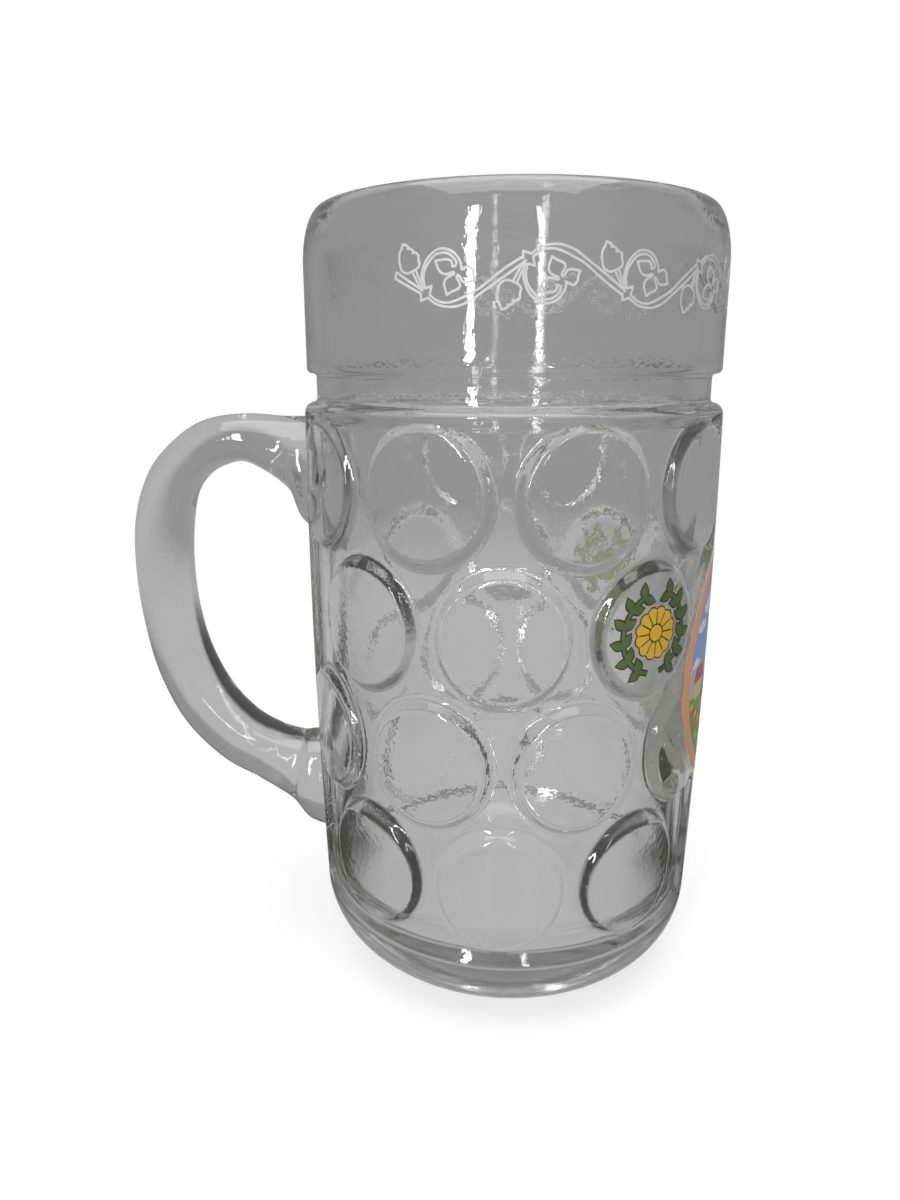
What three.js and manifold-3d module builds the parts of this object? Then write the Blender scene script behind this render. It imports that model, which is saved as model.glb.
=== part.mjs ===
// One-litre beer mug of pressed glass with round raised bosses, a plain collar and a drawn handle.
// Millimetres, +Z up. The origin is the middle of the base, on the standing plane.
// +X is the front with the picture, and the handle stands on the -X side.
import * as THREE from "three";
import { mergeVertices } from "three/addons/utils/BufferGeometryUtils.js";
import Module from "manifold-3d";

const wasm = await Module();
wasm.setup();

// Barrel
const BARREL_RADIUS = 54.6;
const FOOT_TAPER = 2;
const HEEL_RADIUS = 22;
const BELLY_ROWS = 2.5;
const SHOULDER_ROUND = 2.6;
const BARREL_WALL = 9.3;
const BORE_FLARE = 2.1;
const BORE_TAPER = 0.3;
const FLOOR_THICKNESS = 16;
const FLOOR_CORNER = 14;

// Round bosses, and the land between them that is pressed in
const BOSS_TOP = 28.8;
const BOSS_DRAFT = 49 * THREE.MathUtils.DEG2RAD;
const LAND_DEPTH = 2.4;
const BOSS_ROWS = 4;
const ROW_PITCH = 32.2;
const COLUMN_PITCH = 40 * THREE.MathUtils.DEG2RAD;
const HEEL_LAND = 3.6;
const SHOULDER_LAND = 4.5;
const HEEL_LAP = 2;
const SHOULDER_BAND = 1.6;
const FRONT_STRIP = 17 * THREE.MathUtils.DEG2RAD;
const HANDLE_STRIP = 15 * THREE.MathUtils.DEG2RAD;

// Groove, collar and rim
const GROOVE_WIDTH = 7.2;
const GROOVE_DEPTH = 2.4;
const COLLAR_SET_IN = 1.1;
const COLLAR_HEIGHT = 39.3;
const COLLAR_ROUND = 1.4;
const RIM_HEIGHT = 13.5;
const RIM_DRAW_IN = 5;
const LIP_ROUND = 2;

// Handle
const HANDLE_REACH = 51.8;
const ARM_THICKNESS = 13.4;
const GRIP_THICKNESS = 15.8;
const LOWER_ARM_THICKNESS = 17.4;
const HANDLE_WIDTH = 18.5;
const ROOT_WIDTH = 22;
const UPPER_ROOT_SPAN = 32;
const LOWER_ROOT_SPAN = 31;
const UPPER_ARM_DROP = 10.2;
const LOWER_ARM_RISE = 23.5;
const WELD_GAP = 0.3;

// Fired enamel prints
const PRINT_GAP = 0.3;
const PRINT_THICKNESS = 0.3;
const INK_GAP = 0.4;
const VINE_RISE = 19.6;
const VINE_SWING = 5.2;
const VINE_STEM = 2.4;
const VINE_KNOT_PITCH = 21.4;
const VINE_KNOTS = 10;
const VINE_LAP = 1.04;
const VOLUTE_RADIUS = 4.6;
const VOLUTE_FROM = 4;
const VOLUTE_TO = 0.2;
const VOLUTE_SET_OUT = 0.75;
const LOBE_LENGTH = 3.6;
const LOBE_TURNS = [2.6, -1.9, -0.25];
const CONE_LENGTH = 6.6;
const CONE_WIDTH = 5.2;
const CONE_TURN = 2;
const STALK_REACH = [-0.45, 0.7];
const STALK_LAP = 0.8;
const PICTURE_MARGIN = 3.8;
const PICTURE_DROP = 16.5;
const PANEL_MARGIN = 1;
const BORDER_WIDTH = 3.4;
const BORDER_SCALLOPS = 18;
const SCALLOP_DEPTH = 0.7;
const EMBLEM_ROW = 2;
const EMBLEM_RADIUS = 9.8;
const ROSETTE_RADIUS = 5.6;
const ROSETTE_PETALS = 12;
const WREATH_BAND = 1.3;
const WREATH_FROM = -1.32;
const WREATH_TO = 1.05;
const WREATH_LEAF = 3.6;
const LEAF_SLENDERNESS = 2.4;
const LEAF_LEANS = [0.35, 2.5];

// Facets
const BODY_SEGMENTS = 48;
const BOSS_SEGMENTS = 16;
const PANEL_SEGMENTS = 28;
const HANDLE_SIDES = 14;
const HANDLE_STEPS = 26;
const VINE_STEPS = 4;
const CURVE_STEPS = 3;

// Heights and radii that follow from the driving sizes
const FIRST_ROW = HEEL_RADIUS + HEEL_LAND + BOSS_TOP / 2;
const TOP_ROW = FIRST_ROW + (BOSS_ROWS - 1) * ROW_PITCH;
const BARREL_TOP = TOP_ROW + BOSS_TOP / 2 + SHOULDER_LAND;
const COLLAR_BOTTOM = BARREL_TOP + GROOVE_WIDTH;
const HEIGHT = COLLAR_BOTTOM + COLLAR_HEIGHT;
const BELLY_HEIGHT = FIRST_ROW + BELLY_ROWS * ROW_PITCH;
const COLLAR_RADIUS = BARREL_RADIUS - COLLAR_SET_IN;
const GROOVE_RADIUS = COLLAR_RADIUS - GROOVE_DEPTH;
const BARREL_BORE = BARREL_RADIUS - BARREL_WALL;
const EMBLEM_ANGLE = 1.25 * COLUMN_PITCH;
const PICTURE_HEIGHT = FIRST_ROW + EMBLEM_ROW * ROW_PITCH - PICTURE_DROP;
const PICTURE_RADIUS = BARREL_RADIUS * EMBLEM_ANGLE - EMBLEM_RADIUS - PICTURE_MARGIN;

function barrelRadius(height) {
  const below = (BELLY_HEIGHT - height) / (BELLY_HEIGHT - HEEL_RADIUS);
  return BARREL_RADIUS - FOOT_TAPER * below * below;
}

function rowHeight(row) {
  return FIRST_ROW + row * ROW_PITCH;
}

// Points of an elliptic arc, both ends included
function arc(x, y, radiusX, radiusY, from, to, steps) {
  const points = [];
  for (let i = 0; i <= steps; i++) {
    const angle = from + ((to - from) * i) / steps;
    points.push(new THREE.Vector2(x + radiusX * Math.cos(angle), y + radiusY * Math.sin(angle)));
  }
  return points;
}

function solidOf(geometry) {
  const bare = geometry.clone();
  bare.deleteAttribute("normal");
  bare.deleteAttribute("uv");
  const merged = mergeVertices(bare, 1e-4);
  const vertProperties = new Float32Array(merged.getAttribute("position").array);
  const triVerts = new Uint32Array(merged.getIndex().array);
  return new wasm.Manifold(new wasm.Mesh({ numProp: 3, vertProperties, triVerts }));
}

function geometryOf(solid) {
  const mesh = solid.getMesh();
  const geometry = new THREE.BufferGeometry();
  geometry.setAttribute("position", new THREE.BufferAttribute(new Float32Array(mesh.vertProperties), 3));
  geometry.setIndex(new THREE.BufferAttribute(new Uint32Array(mesh.triVerts), 1));
  geometry.computeVertexNormals();
  return geometry;
}

function revolve(points, segments) {
  return solidOf(new THREE.LatheGeometry(points, segments).rotateX(Math.PI / 2));
}

// Outer profile from the base to the top of the rim, moved outwards by grow
function outerProfile(grow) {
  const footRadius = barrelRadius(HEEL_RADIUS);
  const shoulderRadius = barrelRadius(BARREL_TOP) - SHOULDER_ROUND;
  const barrel = [];
  for (let row = 0; row < BOSS_ROWS; row++) {
    const height = rowHeight(row);
    barrel.push(new THREE.Vector2(barrelRadius(height) + grow, height));
  }
  const groove = GROOVE_RADIUS + grow;
  const heelMiddle = footRadius - HEEL_RADIUS;
  const heel = HEEL_RADIUS + grow;
  const shoulder = SHOULDER_ROUND + grow;
  const hem = COLLAR_ROUND + grow;
  const rimRadius = COLLAR_RADIUS - RIM_DRAW_IN;
  const rimFoot = HEIGHT - RIM_HEIGHT;
  return [
    new THREE.Vector2(0, -grow),
    ...arc(heelMiddle, HEEL_RADIUS, heel, heel, -Math.PI / 2, 0, 5),
    ...barrel,
    ...arc(shoulderRadius, BARREL_TOP - SHOULDER_ROUND, shoulder, shoulder, 0, Math.PI / 2, 4),
    new THREE.Vector2(groove, BARREL_TOP + grow),
    new THREE.Vector2(groove, COLLAR_BOTTOM - grow),
    ...arc(COLLAR_RADIUS - COLLAR_ROUND, COLLAR_BOTTOM + COLLAR_ROUND, hem, hem, -Math.PI / 2, 0, 3),
    ...arc(rimRadius, rimFoot, RIM_DRAW_IN + grow, RIM_HEIGHT + grow, 0, Math.PI / 2, 5),
  ];
}

// Inner profile from the lip down to the middle of the floor: the bore widens a little to the rim
function innerProfile() {
  const lipRadius = COLLAR_RADIUS - RIM_DRAW_IN;
  const lipBore = BARREL_BORE + BORE_FLARE;
  const footBore = BARREL_BORE - BORE_TAPER;
  const lip = arc(lipRadius, HEIGHT - LIP_ROUND, lipRadius - lipBore, LIP_ROUND, Math.PI / 2, Math.PI, 3);
  const cornerHeight = FLOOR_THICKNESS + FLOOR_CORNER;
  const corner = footBore - FLOOR_CORNER;
  return [
    ...lip.slice(1),
    new THREE.Vector2(BARREL_BORE, COLLAR_BOTTOM),
    ...arc(corner, cornerHeight, FLOOR_CORNER, FLOOR_CORNER, 0, -Math.PI / 2, 5),
    new THREE.Vector2(0, FLOOR_THICKNESS),
  ];
}

function barrelSolid(grow) {
  return revolve([...outerProfile(grow), new THREE.Vector2(0, HEIGHT + grow)], BODY_SEGMENTS);
}

// Closed loft through rings of equal point count, with a fan over each end
function loft(rings) {
  const sides = rings[0].length;
  const points = rings.flat();
  const index = [];
  for (let i = 0; i + 1 < rings.length; i++) {
    for (let j = 0; j < sides; j++) {
      const a = i * sides + j;
      const b = i * sides + ((j + 1) % sides);
      index.push(a, b, b + sides, a, b + sides, a + sides);
    }
  }
  const last = (rings.length - 1) * sides;
  for (let j = 1; j + 1 < sides; j++) {
    index.push(0, j + 1, j, last, last + j, last + j + 1);
  }
  const geometry = new THREE.BufferGeometry().setFromPoints(points);
  geometry.setIndex(index);
  return geometry;
}

// Round of the wall that keeps its full thickness, with a drafted edge down to the land
function raisedRound(angle, height, topRadius, segments) {
  const radius = barrelRadius(height);
  const ring = (reach) => {
    const spread = topRadius + (radius - reach) * Math.tan(BOSS_DRAFT);
    const points = [];
    for (let j = 0; j < segments; j++) {
      const turn = (2 * Math.PI * j) / segments;
      const bearing = angle + (spread * Math.cos(turn)) / radius;
      const lift = height + spread * Math.sin(turn);
      points.push(new THREE.Vector3(reach * Math.cos(bearing), reach * Math.sin(bearing), lift));
    }
    return points;
  };
  return solidOf(loft([ring(radius - 2 * LAND_DEPTH), ring(radius + topRadius / 2)]));
}

// Both sides carry rows of three and four bosses in turn, and a large round panel takes the front
function raisedRounds() {
  const rounds = [raisedRound(0, PICTURE_HEIGHT, PICTURE_RADIUS + PANEL_MARGIN, PANEL_SEGMENTS)];
  for (const side of [-Math.PI / 2, Math.PI / 2]) {
    for (let row = 0; row < BOSS_ROWS; row++) {
      const count = row % 2 === 0 ? 3 : 4;
      for (let i = 0; i < count; i++) {
        const angle = side + (i - (count - 1) / 2) * COLUMN_PITCH;
        rounds.push(raisedRound(angle, rowHeight(row), BOSS_TOP / 2, BOSS_SEGMENTS));
      }
    }
  }
  return wasm.Manifold.union(rounds);
}

// Ring of glass that the mould presses in on both sides, from the heel to the band at the shoulder
function landRing() {
  const outside = BARREL_RADIUS + LAND_DEPTH;
  const foot = HEEL_RADIUS - HEEL_LAP;
  const top = BARREL_TOP - SHOULDER_BAND;
  const rows = Array.from({ length: BOSS_ROWS }, (_, row) => rowHeight(row));
  const land = [foot + LAND_DEPTH, ...rows, top - LAND_DEPTH];
  const face = land.map((height) => new THREE.Vector2(barrelRadius(height) - LAND_DEPTH, height));
  return revolve(
    [
      face[0],
      new THREE.Vector2(outside, foot - LAND_DEPTH),
      new THREE.Vector2(outside, top + LAND_DEPTH),
      ...face.reverse(),
    ],
    BODY_SEGMENTS,
  );
}

// Upright wedges over both sides, with drafted ends at the front and at the strip for the handle
function sideWedges() {
  const reach = 2 * BARREL_RADIUS;
  const end = (strip, depth, side) => {
    const radius = BARREL_RADIUS - depth;
    const bearing = strip + (depth * Math.tan(BOSS_DRAFT)) / BARREL_RADIUS;
    return new THREE.Vector2(side * radius * Math.cos(bearing), radius * Math.sin(bearing));
  };
  const sector = [
    end(FRONT_STRIP, 2 * LAND_DEPTH, 1),
    end(FRONT_STRIP, -LAND_DEPTH, 1),
    ...arc(0, 0, reach, reach, FRONT_STRIP, Math.PI - HANDLE_STRIP, 4),
    end(HANDLE_STRIP, -LAND_DEPTH, -1),
    end(HANDLE_STRIP, 2 * LAND_DEPTH, -1),
  ];
  const side = flatSlab(new THREE.Shape(sector), HEIGHT);
  return side.add(side.mirror([0, 1, 0]));
}

function glassBody() {
  const pressed = revolve([...outerProfile(0), ...innerProfile()], BODY_SEGMENTS);
  return pressed.subtract(landRing().intersect(sideWedges()).subtract(raisedRounds()));
}

// Handle: oval sections along its centreline, broad at both roots and cut to the barrel
function handle() {
  const upper = BARREL_TOP - UPPER_ARM_DROP;
  const lower = HEEL_RADIUS + LOWER_ARM_RISE;
  const grip = HANDLE_REACH - GRIP_THICKNESS / 2;
  const arm = ARM_THICKNESS;
  const foot = LOWER_ARM_THICKNESS;
  const slim = HANDLE_WIDTH;
  // Each station: share of the way out to the grip, share of the way up, tilt in degrees, thickness, width
  const stations = [
    [-0.11, 0.9, 0, UPPER_ROOT_SPAN, ROOT_WIDTH],
    [0.045, 0.916, 0, 0.9 * UPPER_ROOT_SPAN, ROOT_WIDTH],
    [0.155, 0.961, 4, (UPPER_ROOT_SPAN + arm) * 0.44, slim],
    [0.405, 1, 6, arm, slim],
    [0.62, 0.986, 24, arm, slim],
    [0.785, 0.939, 38, arm, slim],
    [0.905, 0.869, 55, (arm + GRIP_THICKNESS) / 2, slim],
    [0.98, 0.759, 78, GRIP_THICKNESS, slim],
    [1, 0.623, 90, GRIP_THICKNESS, slim],
    [0.975, 0.485, 98, GRIP_THICKNESS, slim],
    [0.905, 0.349, 112, (foot + GRIP_THICKNESS) / 2, slim],
    [0.765, 0.22, 127, foot, slim],
    [0.56, 0.123, 147, foot, slim],
    [0.355, 0.072, 159, foot, slim],
    [0.17, 0.032, 172, (LOWER_ROOT_SPAN + foot) * 0.44, slim],
    [0.06, 0.001, 178, 0.9 * LOWER_ROOT_SPAN, ROOT_WIDTH],
    [-0.11, -0.01, 180, LOWER_ROOT_SPAN, ROOT_WIDTH],
  ];
  const rise = upper - lower;
  const station = (out, up) => new THREE.Vector3(-BARREL_RADIUS - out * grip, 0, lower + up * rise);
  const line = new THREE.CatmullRomCurve3(stations.map(([out, up]) => station(out, up)));
  const section = new THREE.CatmullRomCurve3(
    stations.map(([, , tilt, thickness, width]) => new THREE.Vector3(tilt, thickness / 2, width / 2)),
  );
  const rings = [];
  for (let i = 0; i <= HANDLE_STEPS; i++) {
    const middle = line.getPoint(i / HANDLE_STEPS);
    const size = section.getPoint(i / HANDLE_STEPS);
    const tilt = size.x * THREE.MathUtils.DEG2RAD;
    const across = new THREE.Vector3(-Math.sin(tilt), 0, Math.cos(tilt));
    const ring = [];
    for (let j = 0; j < HANDLE_SIDES; j++) {
      const turn = (2 * Math.PI * j) / HANDLE_SIDES;
      const point = middle.clone().addScaledVector(across, size.y * Math.cos(turn));
      point.y += size.z * Math.sin(turn);
      ring.push(point);
    }
    rings.push(ring);
  }
  return solidOf(loft(rings)).subtract(barrelSolid(WELD_GAP));
}

// Thin skin just off the glass that every print is cut from
const printSkin = barrelSolid(PRINT_GAP + PRINT_THICKNESS).subtract(barrelSolid(PRINT_GAP));

function flatSlab(outline, depth) {
  const settings = { depth, bevelEnabled: false, curveSegments: CURVE_STEPS };
  return solidOf(new THREE.ExtrudeGeometry(outline, settings));
}

// A flat slab, drawn with x to the right and y up, pushed through the wall at an angle and a height
function through(slab, angle, height) {
  const across = new THREE.Vector3(-Math.sin(angle), Math.cos(angle), 0);
  const up = new THREE.Vector3(0, 0, 1);
  const out = new THREE.Vector3(Math.cos(angle), Math.sin(angle), 0);
  const place = new THREE.Matrix4().makeBasis(across, up, out);
  place.setPosition(0, 0, height);
  return slab.transform(place.elements);
}

function glassPrint(slab, angle, height) {
  return through(slab, angle, height).intersect(printSkin);
}

// Outline of a wavy-edged disc: lobes bulge outwards by depth
function lobedDisc(radiusX, radiusY, lobes, depth) {
  const points = [];
  const steps = 4 * lobes;
  for (let i = 0; i < steps; i++) {
    const angle = (2 * Math.PI * i) / steps;
    const bulge = depth * Math.abs(Math.sin((lobes * angle) / 2));
    const x = (radiusX + bulge) * Math.cos(angle);
    const y = (radiusY + bulge) * Math.sin(angle);
    points.push(new THREE.Vector2(x, y));
  }
  return new THREE.Shape(points);
}

// Pointed leaf along +X from its stalk at the origin
function leaf(length, width) {
  const shape = new THREE.Shape();
  shape.moveTo(0, 0);
  shape.quadraticCurveTo(0.35 * length, width, length, 0);
  shape.quadraticCurveTo(0.35 * length, -width, 0, 0);
  return shape;
}

function turned(solid, x, y, angle) {
  const place = new THREE.Matrix4().makeRotationZ(angle).setPosition(x, y, 0);
  return solid.transform(place.elements);
}

// Flat strip of one width along a list of points
function ribbon(points, width) {
  const left = [];
  const right = [];
  points.forEach((point, i) => {
    const before = points[Math.max(i - 1, 0)];
    const after = points[Math.min(i + 1, points.length - 1)];
    const along = after.clone().sub(before).normalize();
    const side = new THREE.Vector2(-along.y, along.x).multiplyScalar(width / 2);
    left.push(point.clone().sub(side));
    right.push(point.clone().add(side));
  });
  return new THREE.Shape([...left, ...right.reverse()]);
}

// Lines across the picture, in shares of its radius
const RIDGE_LINE = [
  [-2, -0.1],
  [-0.75, 0.18],
  [-0.5, 0.02],
  [-0.12, 0.5],
  [0.2, 0.12],
  [0.48, 0.36],
  [0.9, -0.05],
  [2, -0.1],
];
const TURF_LINE = [
  [-2, -0.3],
  [-0.9, -0.18],
  [-0.4, -0.22],
  [0.1, -0.34],
  [0.6, -0.24],
  [2, -0.3],
];

// Everything in the picture below a line, from the left edge to the right
function below(line, lift) {
  const low = -2 * PICTURE_RADIUS;
  const points = line.map(([x, y]) => new THREE.Vector2(x * PICTURE_RADIUS, y * PICTURE_RADIUS + lift));
  const corners = [new THREE.Vector2(low, low), new THREE.Vector2(-low, low)];
  return flatSlab(new THREE.Shape([...corners, ...points.reverse()]), 2 * BARREL_RADIUS);
}

// Roundel on the front panel: scalloped border, sky, mountains and meadow, parted by thin bare lines
function pictureInks() {
  const depth = 2 * BARREL_RADIUS;
  const chord = (radius) => BARREL_RADIUS * Math.sin(radius / BARREL_RADIUS);
  const disc = (radius) => {
    const outline = arc(0, 0, chord(radius), radius, 0, 2 * Math.PI, PANEL_SEGMENTS).slice(1);
    return flatSlab(new THREE.Shape(outline), depth);
  };
  const border = PICTURE_RADIUS - SCALLOP_DEPTH;
  const field = border - BORDER_WIDTH;
  const rim = flatSlab(lobedDisc(chord(border), border, BORDER_SCALLOPS, SCALLOP_DEPTH), depth);
  const ink = disc(field - INK_GAP);
  return {
    picture_border: rim.subtract(disc(field)),
    picture_sky: ink.subtract(below(RIDGE_LINE, 0)),
    picture_mountains: ink.intersect(below(RIDGE_LINE, -INK_GAP)).subtract(below(TURF_LINE, 0)),
    picture_meadow: ink.intersect(below(TURF_LINE, -INK_GAP)),
  };
}

// Half a wreath: a bowed twig from the bottom up one side, with leaves along it
function wreathHalf(side, depth) {
  const twig = arc(0, 0, EMBLEM_RADIUS, EMBLEM_RADIUS, WREATH_FROM, WREATH_TO, 6);
  const blade = flatSlab(leaf(WREATH_LEAF, WREATH_LEAF / LEAF_SLENDERNESS), depth);
  const parts = [flatSlab(ribbon(twig, WREATH_BAND), depth)];
  for (let i = 1; i < twig.length; i += 2) {
    const outward = Math.atan2(twig[i].y, twig[i].x);
    for (const lean of LEAF_LEANS) {
      parts.push(turned(blade, twig[i].x, twig[i].y, outward + lean));
    }
  }
  const right = wasm.Manifold.union(parts);
  return side > 0 ? right : right.mirror([1, 0, 0]);
}

// Emblem on a boss: a gold rosette inside a green wreath
function emblemInks(name) {
  const depth = 2 * BARREL_RADIUS;
  const rosette = lobedDisc(ROSETTE_RADIUS, ROSETTE_RADIUS, ROSETTE_PETALS, SCALLOP_DEPTH);
  return {
    [`${name}_rosette`]: flatSlab(rosette, depth),
    [`${name}_wreath_left`]: wreathHalf(-1, depth),
    [`${name}_wreath_right`]: wreathHalf(1, depth),
  };
}

// Hop vine round the collar. At each knot of the waving stem a volute curls over to a three-lobed leaf,
// and a hop cone stands on a short stalk on the stem's other side. Up is +1 at a low bend, -1 at a high one.
function vineUnit(up) {
  const slab = (outline) => flatSlab(outline, 2 * COLLAR_RADIUS);
  const stemAt = (share) => new THREE.Vector2(
    share * VINE_KNOT_PITCH,
    -up * VINE_SWING * Math.cos(Math.PI * share),
  );
  const stem = [];
  for (let i = 0; i <= VINE_STEPS; i++) {
    stem.push(stemAt((i / VINE_STEPS - 0.5) * VINE_LAP));
  }
  const knot = stemAt(-0.25);
  const at = (x, y) => new THREE.Vector2(knot.x + x, knot.y + up * y);
  const middle = at(VOLUTE_SET_OUT * VOLUTE_RADIUS, VOLUTE_RADIUS);
  const curl = arc(middle.x, middle.y, VOLUTE_RADIUS, up * VOLUTE_RADIUS, VOLUTE_FROM, VOLUTE_TO, 6);
  const end = curl[curl.length - 1];
  const stalk = at(STALK_REACH[0] * CONE_LENGTH, STALK_REACH[1] * CONE_LENGTH);
  const cone = knot.clone().lerp(stalk, STALK_LAP);
  const parts = [
    slab(ribbon(stem, VINE_STEM)),
    slab(ribbon([knot, ...curl], VINE_STEM / 2)),
    slab(ribbon([knot, stalk], VINE_STEM / 2)),
    turned(slab(leaf(CONE_LENGTH, CONE_WIDTH)), cone.x, cone.y, up * CONE_TURN),
  ];
  for (const lobe of LOBE_TURNS) {
    parts.push(turned(slab(leaf(LOBE_LENGTH, LOBE_LENGTH)), end.x, end.y, up * lobe));
  }
  return wasm.Manifold.union(parts);
}

function hopVine() {
  const units = [];
  for (let i = 0; i < VINE_KNOTS; i++) {
    const angle = ((i - (VINE_KNOTS - 1) / 2) * VINE_KNOT_PITCH) / COLLAR_RADIUS;
    units.push(glassPrint(vineUnit(i % 2 === 0 ? 1 : -1), angle, COLLAR_BOTTOM + VINE_RISE));
  }
  return wasm.Manifold.union(units);
}

// Colours and finishes
const LOOKS = {
  glass: { color: 0xdfe6e0, roughness: 0.05, metalness: 0 },
  white: { color: 0xe9ebe6, roughness: 0.35, metalness: 0 },
  orange: { color: 0xe08a52, roughness: 0.35, metalness: 0 },
  blue: { color: 0x6f95d8, roughness: 0.35, metalness: 0 },
  grey: { color: 0xb9bcc0, roughness: 0.35, metalness: 0 },
  green: { color: 0x55701f, roughness: 0.35, metalness: 0 },
  gold: { color: 0xd9a916, roughness: 0.35, metalness: 0 },
};

const mug = new THREE.Group();

function add(name, solid, look) {
  const mesh = new THREE.Mesh(geometryOf(solid), new THREE.MeshStandardMaterial(LOOKS[look]));
  mesh.name = name;
  mug.add(mesh);
}

add("glass_body", glassBody(), "glass");
add("handle", handle(), "glass");
add("hop_vine", hopVine(), "white");

const pictureColours = {
  picture_border: "orange",
  picture_sky: "blue",
  picture_mountains: "grey",
  picture_meadow: "green",
};
for (const [name, slab] of Object.entries(pictureInks())) {
  add(name, glassPrint(slab, 0, PICTURE_HEIGHT), pictureColours[name]);
}

for (const [name, side] of [["near_emblem", -1], ["far_emblem", 1]]) {
  for (const [node, slab] of Object.entries(emblemInks(name))) {
    const print = glassPrint(slab, side * EMBLEM_ANGLE, rowHeight(EMBLEM_ROW));
    add(node, print, node.endsWith("rosette") ? "gold" : "green");
  }
}

export default mug;
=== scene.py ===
import math

import bmesh
import bpy
import numpy as np
from mathutils import Matrix, Vector


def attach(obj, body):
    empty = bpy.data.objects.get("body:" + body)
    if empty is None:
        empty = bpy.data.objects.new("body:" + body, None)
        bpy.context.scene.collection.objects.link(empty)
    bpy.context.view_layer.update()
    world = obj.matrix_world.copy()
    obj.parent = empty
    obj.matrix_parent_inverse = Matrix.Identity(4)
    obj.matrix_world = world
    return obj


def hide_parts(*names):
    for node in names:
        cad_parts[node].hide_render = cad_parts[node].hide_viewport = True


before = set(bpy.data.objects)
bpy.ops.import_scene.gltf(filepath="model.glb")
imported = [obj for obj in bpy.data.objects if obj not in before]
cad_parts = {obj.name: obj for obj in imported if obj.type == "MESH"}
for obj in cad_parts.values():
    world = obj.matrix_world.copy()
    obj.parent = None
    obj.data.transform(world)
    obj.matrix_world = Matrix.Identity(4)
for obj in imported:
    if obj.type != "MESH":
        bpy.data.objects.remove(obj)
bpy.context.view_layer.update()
scene = bpy.context.scene
scene.view_settings.view_transform = "Standard"
# A ray crosses thick glass many times before it is out again
scene.cycles.max_bounces = 24
scene.cycles.glossy_bounces = 16
scene.cycles.transmission_bounces = 20


# Camera: a wide lens held close, level with the collar and looking down at the barrel.
# The frame is 900 x 1200, and the lens is given for its tall side.
camera = bpy.data.objects.new("camera", bpy.data.cameras.new("camera"))
camera.data.sensor_fit = "VERTICAL"
camera.data.sensor_height = 36
camera.data.lens = 27.09
camera.data.clip_start = 0.01
camera.location = (0.0043, -0.2467, 0.1648)
camera.rotation_euler = (math.radians(75.4), 0, math.radians(4.79))
scene.collection.objects.link(camera)
scene.camera = camera


# Glass body and handle: one litre of clear soda-lime glass, pressed in a mould that leaves round
# bosses and a round front panel standing over the land between them, with a drawn collar and rim
# above a groove. The handle is a gathered rod stuck on hot, so both are one piece of glass here.
MM = 0.001  # lengths are in mm as far as the floor, and angles in degrees round from the printed front
BARREL_RADIUS = 54.6
FOOT_TAPER = 2.0
HEEL_RADIUS = 22.0
BARREL_TOP = 155.5
BELLY_HEIGHT = 120.5
SHOULDER_ROUND = 2.6
GROOVE_RADIUS = 51.1
GROOVE_ROUND_LOW = 1.2
GROOVE_ROUND_HIGH = 1.0
COLLAR_BOTTOM = 162.7
COLLAR_RADIUS = 53.5
COLLAR_ROUND = 1.4
MUG_HEIGHT = 202.0
RIM_HEIGHT = 13.5
RIM_DRAW_IN = 5.0
LIP_ROUND = 2.0
RIM_BORE = 47.4
BARREL_BORE = 45.3
FOOT_BORE = 45.0
FLOOR_THICKNESS = 16.0
FLOOR_CORNER = 14.0
BOSS_ROWS = (40.0, 72.2, 104.4, 136.6)
BOSS_COUNTS = (3, 4, 3, 4)
BOSS_PITCH = 40.0
BOSS_TOP = 14.4
BOSS_EDGE = 2.8
BOSS_DOME = 0.25
PANEL_HEIGHT = 87.9
PANEL_TOP = 35.05
FRONT_STRIP = 17.0
HANDLE_STRIP = 15.0
LAND_DEPTH = 2.4
LAND_ENDS = (20.0, 153.9)
GLASS_COLUMNS = 480
BARREL_STEP = 0.7
OUTER_STEP = 2.0
INNER_STEP = 2.5
CENTRE_RING = 4.0
GLASS_CREASE = 60.0


def barrel_radius(height):
    return BARREL_RADIUS - FOOT_TAPER * ((BELLY_HEIGHT - height) / (BELLY_HEIGHT - HEEL_RADIUS)) ** 2


def standing(top, away):
    """1 on a raised round, falling to 0 down its drafted and softly rounded edge."""
    t = np.clip((top + BOSS_EDGE - away) / BOSS_EDGE, 0, 1)
    return (t + t * t * (3 - 2 * t)) / 2


def land_sink(angle, height):
    """How deep the wall lies under the barrel's round at an angle in degrees and a height in mm."""
    from_front = np.radians(np.abs((angle + 180) % 360 - 180)) * barrel_radius(height)
    from_handle = math.pi * barrel_radius(height) - from_front
    panel = standing(PANEL_TOP, np.hypot(from_front, height - PANEL_HEIGHT))
    raised = np.maximum(panel, standing(math.radians(FRONT_STRIP) * BARREL_RADIUS, from_front))
    raised = np.maximum(raised, standing(math.radians(HANDLE_STRIP) * BARREL_RADIUS, from_handle))
    raised = np.maximum(raised, standing(0, height - LAND_ENDS[0]))
    raised = np.maximum(raised, standing(0, LAND_ENDS[1] - height))
    dome = 0
    for middle, count in zip(BOSS_ROWS, BOSS_COUNTS):
        for side in (-90, 90):
            for i in range(count):
                turn = (angle - side - (i - (count - 1) / 2) * BOSS_PITCH + 180) % 360 - 180
                across = np.radians(turn) * barrel_radius(middle)
                away = np.hypot(across, height - middle)
                raised = np.maximum(raised, standing(BOSS_TOP, away))
                dome = dome + BOSS_DOME * np.clip(1 - (away / BOSS_TOP) ** 2, 0, 1)
    return LAND_DEPTH * (1 - raised) - dome * (1 - panel)


def wall_radius(angle, height):
    """Outer radius of the barrel or the collar, with the land between the bosses."""
    if np.mean(height) > COLLAR_BOTTOM:
        return np.full(np.broadcast(angle, height).shape, COLLAR_RADIUS)
    return barrel_radius(height) - land_sink(angle, height)


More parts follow.
